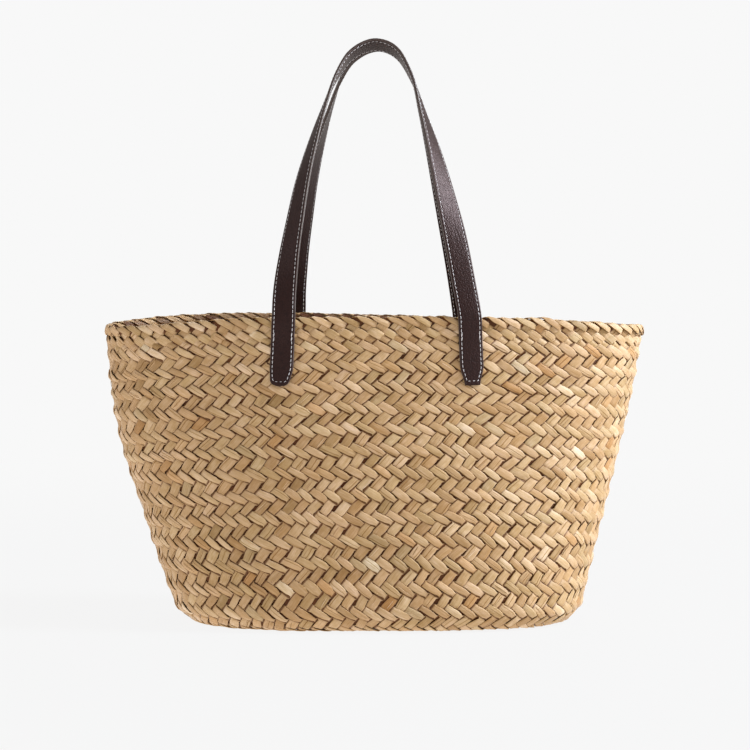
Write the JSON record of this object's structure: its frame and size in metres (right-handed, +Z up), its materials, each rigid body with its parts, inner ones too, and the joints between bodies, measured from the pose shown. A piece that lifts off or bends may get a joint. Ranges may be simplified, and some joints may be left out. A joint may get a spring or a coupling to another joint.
{
  "type": "straw basket bag",
  "caption": "Open woven straw basket bag with a flat oval base, a braided rim and stitched leather shoulder straps.",
  "frame": {"origin": "centre of the flat underside, on the surface that the bag stands on", "axes": "+Z up, +X along the length of the bag to the right as seen from the front, -Y out of the front"},
  "size_m": [0.4981, 0.2483, 0.5366],
  "materials": {
    "straw_weave": "dry palm leaf strips in a twill plait",
    "straw_braid": "dry palm leaf strips folded over the edge",
    "strap_leather": "pebbled dark brown leather with light thread"
  },
  "bodies": {
    "root": {"basket_body": "straw_weave", "rim_braid": "straw_braid", "strap_front": "strap_leather", "strap_back": "strap_leather"}
  },
  "joints": []
}
